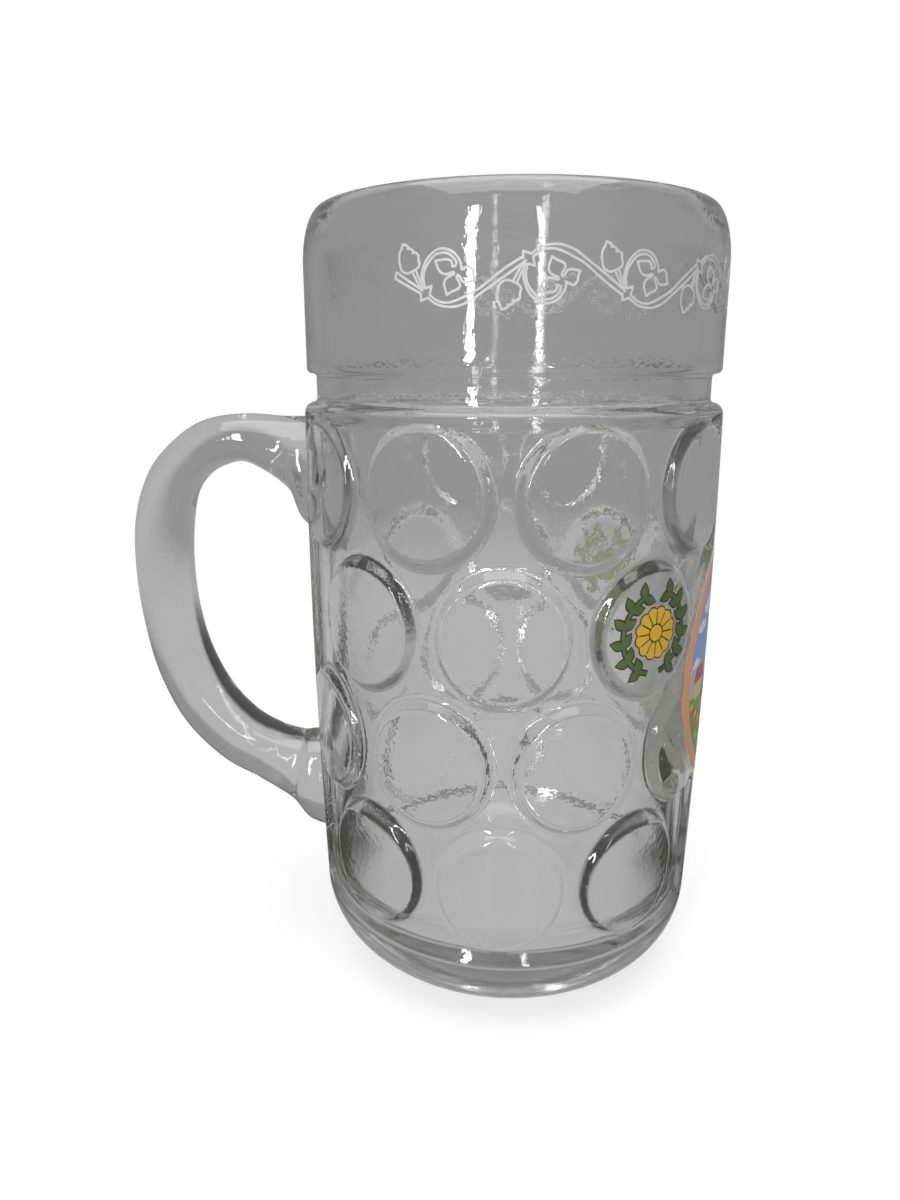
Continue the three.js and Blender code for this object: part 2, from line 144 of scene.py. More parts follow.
def arc_points(middle, radius_x, radius_y, start, end, steps):
    turns = np.radians(np.linspace(start, end, steps + 1))
    return [(middle[0] + radius_x * math.cos(t), middle[1] + radius_y * math.sin(t)) for t in turns]


def resampled(points, step):
    """The same broken line with a point at each corner and no stretch longer than step."""
    out = [points[0]]
    for a, b in zip(points, points[1:]):
        count = max(1, math.ceil(math.dist(a, b) / step))
        for k in range(1, count + 1):
            out.append((a[0] + (b[0] - a[0]) * k / count, a[1] + (b[1] - a[1]) * k / count))
    return out


def mesh_object(name, vertices, faces):
    mesh = bpy.data.meshes.new(name)
    mesh.from_pydata(vertices, [], faces)
    mesh.update()
    piece = bpy.data.objects.new(name, mesh)
    scene.collection.objects.link(piece)
    return piece


def ring_faces(rings, columns):
    """Faces of a tube whose points come ring after ring."""
    faces = []
    for i in range(rings - 1):
        for j in range(columns):
            a = i * columns + j
            b = i * columns + (j + 1) % columns
            faces.append((a, b, b + columns, a + columns))
    return faces


def round_corner(radius, height, size, start, end, steps):
    """Points of a rounded corner about a middle at a radius and a height."""
    return arc_points((radius, height), size, size, start, end, steps)


# Half section of the glass, up the outside from the foot and down the inside to the cup's floor
foot_radius = barrel_radius(HEEL_RADIUS) - HEEL_RADIUS
shoulder_radius = barrel_radius(BARREL_TOP) - SHOULDER_ROUND
shoulder_height = BARREL_TOP - SHOULDER_ROUND
groove_low = (GROOVE_RADIUS + GROOVE_ROUND_LOW, BARREL_TOP + GROOVE_ROUND_LOW)
groove_high = (GROOVE_RADIUS + GROOVE_ROUND_HIGH, COLLAR_BOTTOM - GROOVE_ROUND_HIGH)
collar_low = (COLLAR_RADIUS - COLLAR_ROUND, COLLAR_BOTTOM + COLLAR_ROUND)
lip_radius = COLLAR_RADIUS - RIM_DRAW_IN
corner_height = FLOOR_THICKNESS + FLOOR_CORNER
outer_line = [(CENTRE_RING, 0.0), (foot_radius, 0.0)]
outer_line += round_corner(foot_radius, HEEL_RADIUS, HEEL_RADIUS, -90, 0, 32)[1:]
outer_line += [(barrel_radius(z), z) for z in np.arange(HEEL_RADIUS + 1, shoulder_height, BARREL_STEP)]
outer_line += round_corner(shoulder_radius, shoulder_height, SHOULDER_ROUND, 0, 80, 8)
outer_line += round_corner(*groove_low, GROOVE_ROUND_LOW, 260, 180, 6)
outer_line += round_corner(*groove_high, GROOVE_ROUND_HIGH, 180, 100, 6)
outer_line += round_corner(*collar_low, COLLAR_ROUND, -80, 0, 8)
outer_line += arc_points((lip_radius, MUG_HEIGHT - RIM_HEIGHT), RIM_DRAW_IN, RIM_HEIGHT, 0, 90, 24)
lip_width = lip_radius - RIM_BORE
inner_line = arc_points((lip_radius, MUG_HEIGHT - LIP_ROUND), lip_width, LIP_ROUND, 90, 180, 10)[1:]
inner_line += [(BARREL_BORE, COLLAR_BOTTOM), (FOOT_BORE, corner_height)]
inner_line += round_corner(FOOT_BORE - FLOOR_CORNER, corner_height, FLOOR_CORNER, 0, -90, 24)[1:]
inner_line += [(CENTRE_RING, FLOOR_THICKNESS)]
outer_line = resampled(outer_line, OUTER_STEP)
inner_line = resampled(inner_line, INNER_STEP)

columns = np.arange(GLASS_COLUMNS) * 360 / GLASS_COLUMNS
cosines, sines = np.cos(np.radians(columns)), np.sin(np.radians(columns))
glass_points = []
for number, (radius, height) in enumerate(outer_line + inner_line):
    ring = np.full(GLASS_COLUMNS, radius)
    if number < len(outer_line) and LAND_ENDS[0] < height < LAND_ENDS[1]:
        ring = ring - land_sink(columns, height)
    glass_points += np.stack([ring * cosines, ring * sines, np.full(GLASS_COLUMNS, height)], 1).tolist()
ring_count = len(outer_line) + len(inner_line)
glass_faces = ring_faces(ring_count, GLASS_COLUMNS)
foot_middle, floor_middle = len(glass_points), len(glass_points) + 1
glass_points += [[0, 0, 0], [0, 0, FLOOR_THICKNESS]]
last_ring = (ring_count - 1) * GLASS_COLUMNS
for j in range(GLASS_COLUMNS):
    k = (j + 1) % GLASS_COLUMNS
    glass_faces += [(foot_middle, k, j), (floor_middle, last_ring + j, last_ring + k)]
mug_glass = mesh_object("mug_glass", [[c * MM for c in p] for p in glass_points], glass_faces)

# Handle stations: share of the way out to the grip, share of the way up, tilt, thickness, width
HANDLE_SPAN = (45.5, 145.3)
HANDLE_OUT = 43.9
HANDLE_STATIONS = [
    (-0.11, 0.900, 0, 32.0, 22.0),
    (0.045, 0.916, 0, 28.8, 22.0),
    (0.155, 0.961, 4, 20.0, 18.5),
    (0.405, 1.000, 6, 13.4, 18.5),
    (0.620, 0.986, 24, 13.4, 18.5),
    (0.785, 0.939, 38, 13.4, 18.5),
    (0.905, 0.869, 55, 14.6, 18.5),
    (0.980, 0.759, 78, 15.8, 18.5),
    (1.000, 0.623, 90, 15.8, 18.5),
    (0.975, 0.485, 98, 15.8, 18.5),
    (0.905, 0.349, 112, 16.6, 18.5),
    (0.765, 0.220, 127, 17.4, 18.5),
    (0.560, 0.123, 147, 17.4, 18.5),
    (0.355, 0.072, 159, 17.4, 18.5),
    (0.170, 0.032, 172, 21.3, 18.5),
    (0.060, 0.001, 178, 27.9, 22.0),
    (-0.11, -0.010, 180, 31.0, 22.0),
]
HANDLE_RINGS = 200
HANDLE_SIDES = 48


def through_points(points, count):
    """Smooth line through all points, passed at a steady pace from point to point."""
    points = np.array(points, float)
    padded = np.vstack([2 * points[0] - points[1], points, 2 * points[-1] - points[-2]])
    out = []
    for s in np.linspace(0, len(points) - 1, count):
        i = min(int(s), len(points) - 2)
        t = s - i
        a, b, c, d = padded[i:i + 4]
        square = 2 * a - 5 * b + 4 * c - d
        cube = 3 * b - a - 3 * c + d
        out.append(0.5 * (2 * b + (c - a) * t + square * t ** 2 + cube * t ** 3))
    return np.array(out)


rod_points = []
for out_share, up_share, tilt, thick, wide in through_points(HANDLE_STATIONS, HANDLE_RINGS):
    middle_x = -BARREL_RADIUS - out_share * HANDLE_OUT
    middle_z = HANDLE_SPAN[0] + up_share * (HANDLE_SPAN[1] - HANDLE_SPAN[0])
    lean = math.radians(tilt)
    for j in range(HANDLE_SIDES):
        turn = 2 * math.pi * j / HANDLE_SIDES
        reach = thick / 2 * math.cos(turn)
        rod_points.append((
            (middle_x - math.sin(lean) * reach) * MM,
            wide / 2 * math.sin(turn) * MM,
            (middle_z + math.cos(lean) * reach) * MM,
        ))
rod_faces = ring_faces(HANDLE_RINGS, HANDLE_SIDES)
rod_faces.append(tuple(range(HANDLE_SIDES))[::-1])
rod_faces.append(tuple(range((HANDLE_RINGS - 1) * HANDLE_SIDES, HANDLE_RINGS * HANDLE_SIDES)))
rod = mesh_object("handle_rod", rod_points, rod_faces)


def face_out(piece):
    """Turns all faces of a closed piece outwards."""
    work = bmesh.new()
    work.from_mesh(piece.data)
    bmesh.ops.recalc_face_normals(work, faces=work.faces)
    work.to_mesh(piece.data)
    work.free()


def join_solid(piece, other, how):
    """Joins or cuts piece with another closed piece, which is then gone."""
    change = piece.modifiers.new("join", "BOOLEAN")
    change.operation = how
    change.solver = "MANIFOLD"
    change.object = other
    done = bpy.data.meshes.new_from_object(piece.evaluated_get(bpy.context.evaluated_depsgraph_get()))
    piece.modifiers.clear()
    old = piece.data
    piece.data = done
    done.name = piece.name
    bpy.data.meshes.remove(old)
    bpy.data.objects.remove(other)


face_out(mug_glass)
face_out(rod)
join_solid(mug_glass, rod, "UNION")
mug_glass.data.shade_smooth()
mug_glass.data.set_sharp_from_angle(angle=math.radians(GLASS_CREASE))


def new_material(name):
    material = bpy.data.materials.new(name)
    material.use_nodes = True
    nodes = material.node_tree.nodes
    return material, nodes, material.node_tree.links, nodes["Principled BSDF"], nodes["Material Output"]


# Clear glass: faint waves and a fine grain left by the mould, grey-green in the depth.
# Shadow rays pass straight through, so that the mug's shadow stays pale.
glass, nodes, links, shader, output = new_material("clear_glass")
shader.inputs["Base Color"].default_value = (1, 1, 1, 1)
shader.inputs["Roughness"].default_value = 0.0
shader.inputs["IOR"].default_value = 1.5
shader.inputs["Transmission Weight"].default_value = 1.0
place = nodes.new("ShaderNodeTexCoord")
waves = nodes.new("ShaderNodeTexNoise")
waves.inputs["Scale"].default_value = 60
waves.inputs["Detail"].default_value = 1
swell = nodes.new("ShaderNodeBump")
swell.inputs["Strength"].default_value = 0.06
swell.inputs["Distance"].default_value = 0.001
links.new(place.outputs["Object"], waves.inputs["Vector"])
links.new(waves.outputs["Fac"], swell.inputs["Height"])
grain = nodes.new("ShaderNodeTexNoise")
grain.inputs["Scale"].default_value = 700
grain.inputs["Detail"].default_value = 2
ripple = nodes.new("ShaderNodeBump")
ripple.inputs["Strength"].default_value = 0.3
ripple.inputs["Distance"].default_value = 0.0001
links.new(place.outputs["Object"], grain.inputs["Vector"])
links.new(grain.outputs["Fac"], ripple.inputs["Height"])
links.new(swell.outputs["Normal"], ripple.inputs["Normal"])
links.new(ripple.outputs["Normal"], shader.inputs["Normal"])
light_path = nodes.new("ShaderNodeLightPath")
clear = nodes.new("ShaderNodeBsdfTransparent")
clear.inputs["Color"].default_value = (0.62, 0.63, 0.6, 1)
mix = nodes.new("ShaderNodeMixShader")
links.new(light_path.outputs["Is Shadow Ray"], mix.inputs["Fac"])
links.new(shader.outputs["BSDF"], mix.inputs[1])
links.new(clear.outputs["BSDF"], mix.inputs[2])
links.new(mix.outputs["Shader"], output.inputs["Surface"])
depth = nodes.new("ShaderNodeVolumeAbsorption")
depth.inputs["Color"].default_value = (0.70, 0.71, 0.67, 1)
depth.inputs["Density"].default_value = 11
links.new(depth.outputs["Volume"], output.inputs["Volume"])
mug_glass.data.materials.clear()
mug_glass.data.materials.append(glass)
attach(mug_glass, "root")
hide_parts("glass_body", "handle")


# Hop vine: white enamel screened round the collar and fired on, drawn in thin lines.
# A double-lined stem waves from knot to knot. At each knot a volute curls over to a
# three-lobed leaf, and a hop cone with a toothed edge stands on a short stalk.
VINE_LINE = 0.5
VINE_KNOTS = 10
VINE_PITCH = 21.4
VINE_FIRST = -108.6
VINE_HEIGHT = 182.3
VINE_RISE = 6.6
VINE_STEP = 2.0
PRINT_DEPTH = 0.03
PRINT_RISE = 0.05
PRINT_STEP = 1.2
PRINT_CREASE = 40.0
RIBBON_POINTS = 3
SLAB_HALF = 0.5
WELD = 1e-4
# One knot of the vine, from the knot's middle: stem, volute, leaf, knot, stalk and cone
VINE_STROKES = [
    [(0.4, -0.8), (2.2, -2.0), (4.6, -2.6), (6.9, -2.5), (9.6, -1.5), (12.1, 0.2), (15.3, 2.3),
     (18.4, 4.4), (20.8, 6.1)],
    [(0.8, -0.2), (2.5, -1.4), (4.6, -1.8), (6.6, -1.4), (8.9, -0.4), (11.5, 0.9), (14.0, 2.8),
     (17.1, 5.0), (20.1, 6.8)],
    [(-0.9, 1.0), (-1.1, 3.3), (-0.5, 5.5), (0.6, 7.2), (2.2, 8.4), (3.6, 8.7), (5.1, 8.4),
     (6.4, 7.6), (7.2, 6.5), (7.6, 5.5), (7.7, 4.6)],
    [(-0.3, 1.2), (-0.6, 3.2), (-0.1, 5.1), (1.0, 6.6), (2.2, 7.6), (3.6, 7.9), (4.9, 7.7),
     (6.0, 6.9), (6.6, 6.0), (6.4, 5.3), (5.8, 5.2)],
    [(5.8, 5.2), (5.6, 6.1), (5.1, 6.5), (3.9, 6.6), (2.1, 6.4)],
    [(2.1, 6.4), (2.5, 5.3), (3.0, 4.4), (3.9, 3.8), (4.9, 3.8), (5.7, 4.1), (6.2, 4.0)],
    [(6.1, 3.7), (4.9, 3.2), (4.2, 2.6), (4.0, 1.7), (4.3, 0.6), (4.6, -0.3)],
    [(4.6, -0.3), (5.6, 0.3), (6.9, 0.8), (7.4, 1.4), (7.2, 2.2), (6.7, 3.0), (6.9, 3.5)],
    [(6.9, 3.5), (7.4, 3.1), (7.9, 2.3), (8.9, 2.1), (10.5, 2.4)],
    [(10.5, 2.4), (10.2, 3.3), (10.0, 4.4), (9.3, 5.1), (8.7, 5.0), (7.7, 4.6)],
    [(-1.2, 0.1), (-1.2, -1.3)],
    [(-1.2, -1.3), (0.4, -0.8)],
    [(-0.2, 1.1), (1.2, 1.5)],
    [(1.2, 1.5), (0.8, -0.2)],
    [(-3.2, 4.5), (-1.2, 0.9)],
    [(-2.4, 4.8), (-0.8, 1.2)],
    [(-1.7, 7.7), (-1.7, 6.7), (-1.5, 5.8), (-2.0, 5.1), (-3.0, 4.6), (-4.3, 4.2), (-5.6, 4.7),
     (-6.0, 5.5), (-6.3, 6.8), (-6.2, 8.2), (-5.7, 9.0), (-5.4, 9.9)],
    [(-5.4, 9.9), (-4.6, 9.7), (-4.0, 9.2)],
    [(-4.3, 9.0), (-3.4, 8.9), (-2.8, 8.3)],
    [(-3.1, 8.1), (-2.4, 8.2), (-1.7, 7.6)],
]
VINE_START = [[(-7.0, 4.5), (-0.8, 0.7)], [(-7.4, 3.3), (-1.2, 0.1)], [(-7.0, 4.5), (-7.4, 3.3)]]
VINE_END = [[(0.2, 0.6), (0.9, -0.4)]]


def ribbon(points, width):
    """Outline of a line of one width through the points, in mm, smooth where there are three or more."""
    line = np.array(points, float)
    if len(points) > 2:
        line = through_points(points, RIBBON_POINTS * (len(points) - 1) + 1)
    along = np.gradient(line, axis=0)
    along /= np.linalg.norm(along, axis=1)[:, None]
    side = np.stack([-along[:, 1], along[:, 0]], 1) * width / 2
    line[0] -= along[0] * width / 3
    line[-1] += along[-1] * width / 3
    return np.vstack([line + side, (line - side)[::-1]])


def flat_slab(name, outlines):
    """Closed flat slab of outlines in mm; an outline inside another leaves a hole."""
    drawing = bpy.data.curves.new(name, "CURVE")
    drawing.dimensions = "2D"
    drawing.fill_mode = "BOTH"
    drawing.extrude = SLAB_HALF
    for outline in outlines:
        line = drawing.splines.new("POLY")
        line.points.add(len(outline) - 1)
        line.points.foreach_set("co", [c for x, y in outline for c in (x, y, 0, 1)])
        line.use_cyclic_u = True
    holder = bpy.data.objects.new(name, drawing)
    scene.collection.objects.link(holder)
    mesh = bpy.data.meshes.new_from_object(holder.evaluated_get(bpy.context.evaluated_depsgraph_get()))
    bpy.data.objects.remove(holder)
    bpy.data.curves.remove(drawing)
    work = bmesh.new()
    work.from_mesh(mesh)
    bmesh.ops.remove_doubles(work, verts=work.verts, dist=WELD)
    bmesh.ops.recalc_face_normals(work, faces=work.faces)
    work.to_mesh(mesh)
    work.free()
    slab = bpy.data.objects.new(name, mesh)
    scene.collection.objects.link(slab)
    return slab


def joined_slabs(name, shapes):
    """One flat slab of shapes that may overlap, each a list of outlines."""
    slab = flat_slab(name, shapes[0])
    for shape in shapes[1:]:
        join_solid(slab, flat_slab(name + "_part", shape), "UNION")
    return slab


def lay_on_glass(slab, angle, height, rise=PRINT_RISE, step=PRINT_STEP):
    """Cuts a flat slab into small cells and lays it round the wall at an angle and a height."""
    work = bmesh.new()
    work.from_mesh(slab.data)
    points = np.array([v.co for v in work.verts])
    for axis, normal in enumerate(((1, 0, 0), (0, 1, 0))):
        for cut in np.arange(points[:, axis].min() + step / 2, points[:, axis].max(), step):
            cells = work.verts[:] + work.edges[:] + work.faces[:]
            middle = [cut * c for c in normal]
            bmesh.ops.bisect_plane(work, geom=cells, dist=WELD / 10, plane_co=middle, plane_no=normal)
    work.to_mesh(slab.data)
    work.free()
    points = np.array([v.co for v in slab.data.vertices])
    high = points[:, 1] + height
    radius = COLLAR_RADIUS if height > COLLAR_BOTTOM else BARREL_RADIUS
    turn = angle + np.degrees(points[:, 0] / radius)
    reach = wall_radius(turn, high) + np.where(points[:, 2] > 0, rise, -PRINT_DEPTH)
    turn = np.radians(turn)
    wrapped = np.stack([reach * np.cos(turn), reach * np.sin(turn), high], 1) * MM
    slab.data.vertices.foreach_set("co", wrapped.ravel())
    slab.data.update()
    face_out(slab)
    slab.data.shade_smooth()
    slab.data.set_sharp_from_angle(angle=math.radians(PRINT_CREASE))


def moved(points, x, y):
    return [(px + x, py + y) for px, py in points]


def slab_copy(slab, x, y, flip):
    """The same slab moved in its plane, turned upside down where flip is -1."""
    mesh = slab.data.copy()
    mesh.transform(Matrix.Translation((x, y, 0)) @ Matrix.Diagonal((1, flip, 1, 1)))
    copy = bpy.data.objects.new(slab.name + "_copy", mesh)
    scene.collection.objects.link(copy)
    face_out(copy)
    return copy


def vine_shapes(strokes, x=0, y=0):
    return [[ribbon(moved(stroke, x, y), VINE_LINE)] for stroke in strokes]


vine_unit = joined_slabs("vine_unit", vine_shapes(VINE_STROKES))
vine = joined_slabs("vine_print", vine_shapes(VINE_START, 0, -VINE_RISE / 2))
for knot in range(VINE_KNOTS):
    flip = 1 if knot % 2 == 0 else -1
    join_solid(vine, slab_copy(vine_unit, knot * VINE_PITCH, -flip * VINE_RISE / 2, flip), "UNION")
for shape in vine_shapes(VINE_END, VINE_KNOTS * VINE_PITCH, -VINE_RISE / 2):
    join_solid(vine, flat_slab("vine_end", shape), "UNION")
bpy.data.objects.remove(vine_unit)
lay_on_glass(vine, VINE_FIRST, VINE_HEIGHT, step=VINE_STEP)

# Fired enamel: colour that clouds a little where the ink lies thin, and a satin skin.
# The first coat under it is paler: part of the ink's colour on a pale ground.
COAT_COLOUR = 0.14
COAT_GROUND = 0.72
COAT_CLOUDING = 0.3
FACES_GLASS = -0.3
enamel_skin = bpy.data.node_groups.new("enamel_skin", "ShaderNodeTree")
for socket, kind, way in (
    ("Colour", "NodeSocketColor", "INPUT"),
    ("Clouding", "NodeSocketFloat", "INPUT"),
    ("Colour", "NodeSocketColor", "OUTPUT"),
    ("Roughness", "NodeSocketFloat", "OUTPUT"),
    ("Height", "NodeSocketFloat", "OUTPUT"),
):
    enamel_skin.interface.new_socket(socket, in_out=way, socket_type=kind)
nodes, links = enamel_skin.nodes, enamel_skin.links
group_in, group_out = nodes.new("NodeGroupInput"), nodes.new("NodeGroupOutput")
place = nodes.new("ShaderNodeTexCoord")
cloud = nodes.new("ShaderNodeTexNoise")
cloud.inputs["Scale"].default_value = 420
cloud.inputs["Detail"].default_value = 3
grain = nodes.new("ShaderNodeTexNoise")
grain.inputs["Scale"].default_value = 2600
links.new(place.outputs["Object"], cloud.inputs["Vector"])
links.new(place.outputs["Object"], grain.inputs["Vector"])
spread = nodes.new("ShaderNodeMapRange")
spread.inputs["From Min"].default_value = 0.35
spread.inputs["From Max"].default_value = 0.7
links.new(cloud.outputs["Fac"], spread.inputs["Value"])
amount = nodes.new("ShaderNodeMath")
amount.operation = "MULTIPLY"
links.new(spread.outputs["Result"], amount.inputs[0])
links.new(group_in.outputs["Clouding"], amount.inputs[1])
thin = nodes.new("ShaderNodeMix")
thin.data_type = "RGBA"
thin.inputs["B"].default_value = (0.30, 0.30, 0.29, 1)
links.new(amount.outputs["Value"], thin.inputs["Factor"])
links.new(group_in.outputs["Colour"], thin.inputs["A"])
satin = nodes.new("ShaderNodeMapRange")
satin.inputs["To Min"].default_value = 0.28
satin.inputs["To Max"].default_value = 0.46
links.new(grain.outputs["Fac"], satin.inputs["Value"])
links.new(thin.outputs["Result"], group_out.inputs["Colour"])
links.new(satin.outputs["Result"], group_out.inputs["Roughness"])
links.new(grain.outputs["Fac"], group_out.inputs["Height"])


def ink_skin(name, colour, clouding):
    material, nodes, links, shader, _ = new_material(name)
    skin = nodes.new("ShaderNodeGroup")
    skin.node_tree = enamel_skin
    skin.inputs["Colour"].default_value = (*colour, 1)
    skin.inputs["Clouding"].default_value = clouding
    bump = nodes.new("ShaderNodeBump")
    bump.inputs["Strength"].default_value = 0.15
    bump.inputs["Distance"].default_value = 0.0001
    links.new(skin.outputs["Colour"], shader.inputs["Base Color"])
    links.new(skin.outputs["Roughness"], shader.inputs["Roughness"])
    links.new(skin.outputs["Height"], bump.inputs["Height"])
    links.new(bump.outputs["Normal"], shader.inputs["Normal"])
    return material


def enamel(name, colour, clouding=0.15, underside=None):
    """Enamel of one colour, and the pale first coat under it that shows through the glass."""
    coat = underside or [COAT_COLOUR * c + COAT_GROUND for c in colour]
    return ink_skin(name, colour, clouding), ink_skin(name + "_underside", coat, COAT_CLOUDING)


def finish_print(piece, skins, slot, *nodes):
    """Gives the ink its colour on the outside and its underside on the glass."""
    piece.data.materials.clear()
    for skin in skins:
        piece.data.materials.append(skin)
    for face in piece.data.polygons:
        out = Vector((face.center.x, face.center.y, 0)).normalized()
        face.material_index = 1 if face.normal.dot(out) < FACES_GLASS else 0
    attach(piece, "root")
    if nodes:
        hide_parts(*nodes)


white_enamel = enamel("white_enamel", (0.62, 0.63, 0.60), 0.3, (0.48, 0.48, 0.46))
finish_print(vine, white_enamel, "white_enamel", "hop_vine")


# Picture on the smooth front: a roundel of mountains over a meadow in fired enamels, with a
# scalloped orange border. Each colour is its own screen, printed and fired by itself.
PICTURE_HEIGHT = PANEL_HEIGHT
PICTURE_RADIUS = 34.0
PICTURE_STEP = 1.0
BORDER_WIDTH = 3.4
BORDER_SCALLOPS = 18
SCALLOP_DEPTH = 0.7
INK_GAP = 0.25
FAR_BELOW = 80
RIDGE = [
    (-60, -6), (-31, 1), (-26, 5.5), (-22, 4), (-17, 1.5), (-13, 6), (-9, 10), (-4, 16.5), (-1, 13),
    (2, 9), (6.5, 4), (10, 8), (13, 10), (16.5, 13), (20, 8.5), (24, 5), (30, -1), (60, -8),
]
TURF = [
    (-60, -9), (-30, -5.5), (-24, -5), (-14, -7.4), (-4, -9.6), (4, -11.2), (14, -8.6), (22, -7.4),
    (30, -9), (60, -12),
]
field = PICTURE_RADIUS - SCALLOP_DEPTH - BORDER_WIDTH


def round_turns(steps):
    """Angles of one turn, in equal steps."""
    return np.linspace(0, 2 * math.pi, steps, endpoint=False)


def scalloped(radius, lobes, depth, steps=12):
    """A round with lobes that stand out by depth, each drawn in a number of steps."""
    points = []
    for t in round_turns(lobes * steps):
        reach = radius + depth * abs(math.sin(lobes * t / 2))
        points.append((reach * math.cos(t), reach * math.sin(t)))
    return points


def oval(radius_x, radius_y, steps, x=0, y=0):
    return [(x + radius_x * math.cos(t), y + radius_y * math.sin(t)) for t in round_turns(steps)]


def disc(radius, steps=96):
    return oval(radius, radius, steps)


def below(line, lift):
    """Everything in the picture under a line, which is lifted."""
    base = [(-FAR_BELOW, -FAR_BELOW), (FAR_BELOW, -FAR_BELOW)]
    return base + [(x, y + lift) for x, y in reversed(line)]


def picture_part(name, *steps):
    """A disc of the picture's field, cut by the steps."""
    slab = flat_slab(name, [disc(field - INK_GAP)])
    for how, outline in steps:
        join_solid(slab, flat_slab(name + "_cut", [outline]), how)
    return slab


border_edge = scalloped(PICTURE_RADIUS - SCALLOP_DEPTH, BORDER_SCALLOPS, SCALLOP_DEPTH)
border = flat_slab("picture_rim", [border_edge, disc(field)])
sky = picture_part("picture_blue", ("DIFFERENCE", below(RIDGE, 0)))
peaks = picture_part("picture_peaks", ("INTERSECT", below(RIDGE, -INK_GAP)), ("DIFFERENCE", below(TURF, 0)))
meadow = picture_part("picture_grass", ("INTERSECT", below(TURF, -INK_GAP)))
blue_enamel = enamel("blue_enamel", (0.20, 0.36, 0.72))
orange_enamel = enamel("orange_enamel", (0.80, 0.36, 0.18))
grey_enamel = enamel("grey_enamel", (0.46, 0.47, 0.50))
meadow_enamel = enamel("meadow_enamel", (0.16, 0.33, 0.05))
for piece, ink, slot, node in (
    (border, orange_enamel, "orange_enamel", "picture_border"),
    (sky, blue_enamel, "blue_enamel", "picture_sky"),
    (peaks, grey_enamel, "grey_enamel", "picture_mountains"),
    (meadow, meadow_enamel, "green_enamel", "picture_meadow"),
):
    lay_on_glass(piece, 0, PICTURE_HEIGHT, step=PICTURE_STEP)
    finish_print(piece, ink, slot, node)

# Second screens over the first: snow, clouds, firs, a farmhouse and flowers
SECOND_RISE = 0.09
SNOW = [
    [(-4, 16.2), (-6.6, 12.4), (-5.2, 11.2), (-4.4, 12.4), (-3.2, 10.4), (-2.2, 12.0), (-1.2, 12.8)],
    [(16.4, 12.6), (13.4, 9.9), (14.6, 9.0), (15.4, 9.8), (16.6, 8.2), (17.6, 9.6), (19.0, 9.2)],
    [(-26, 5.1), (-28.4, 2.8), (-27, 2.4), (-26.2, 3.2), (-25, 2.0), (-23.6, 3.9)],
]
# Clouds: middle and size of each puff
CLOUDS = [
    (-18, 17, 3.0), (-14.5, 18.2, 3.8), (-11, 17, 2.8), (9, 21.5, 2.6), (12, 22.4, 3.2),
    (15, 21.2, 2.4), (-24, 12.4, 1.8), (-22, 13, 2.2),
]
CLOUD_WIDE = 1.25
CLOUD_TALL = 0.62
# Firs: foot and height of each, and the outline of one side as shares of the height
FIRS = [
    (-13, -8.0, 6.4), (-9.6, -9.2, 5.0), (-16.4, -7.6, 4.6), (9, -10.4, 6.0), (12.4, -9.6, 7.4),
    (15.8, -8.8, 5.4), (19, -8.6, 4.4), (2.6, -11.8, 4.0),
]
FIR_TIERS = [
    (0.0, 1.0), (0.26, 0.62), (0.12, 0.62), (0.36, 0.3), (0.18, 0.3), (0.46, 0.0), (0.08, 0.0),
    (0.08, -0.14),
]
HOUSE = [(-25.6, -6.4), (-18.4, -6.4), (-18.4, -1.6), (-25.6, -1.6)]
WINDOW = [(-24.4, -5), (-22.8, -5), (-22.8, -3.2), (-24.4, -3.2)]
DOOR = [(-21.2, -6), (-19.6, -6), (-19.6, -3.2), (-21.2, -3.2)]
ROOF = [(-27.2, -1.8), (-16.8, -1.8), (-18.4, 2.4), (-25.2, 2.4)]
RED_FLOWERS = [
    (-25.6, -9.6), (-21.4, -11.6), (-23.6, -14.2), (-18.6, -15.8), (-14, -13.2), (-8.4, -17.4),
    (0.6, -16), (6.8, -19), (13.6, -15.2), (20.4, -13.4), (17.2, -19.6),
]
YELLOW_FLOWERS = [
    (-23.4, -10.8), (-19.6, -13.2), (-20.8, -17.6), (-12.4, -17.8), (-4.6, -14.6), (-2.4, -20.4),
    (4, -14.4), (10.4, -18.2), (16.4, -16.2), (23, -11.4), (-27, -8.0),
]
FLOWER_PETALS = 5
RED_BLOOM = (0.85, 0.45)
YELLOW_BLOOM = (0.75, 0.4)


def fir(x, y, size):
    right = [(x + size * a, y + size * b) for a, b in FIR_TIERS]
    left = [(x - size * a, y + size * b) for a, b in FIR_TIERS[:0:-1]]
    return right + left


def flowers(name, spots, radius, depth):
    bloom = scalloped(radius, FLOWER_PETALS, depth, steps=6)
    return joined_slabs(name, [[moved(bloom, x, y)] for x, y in spots])


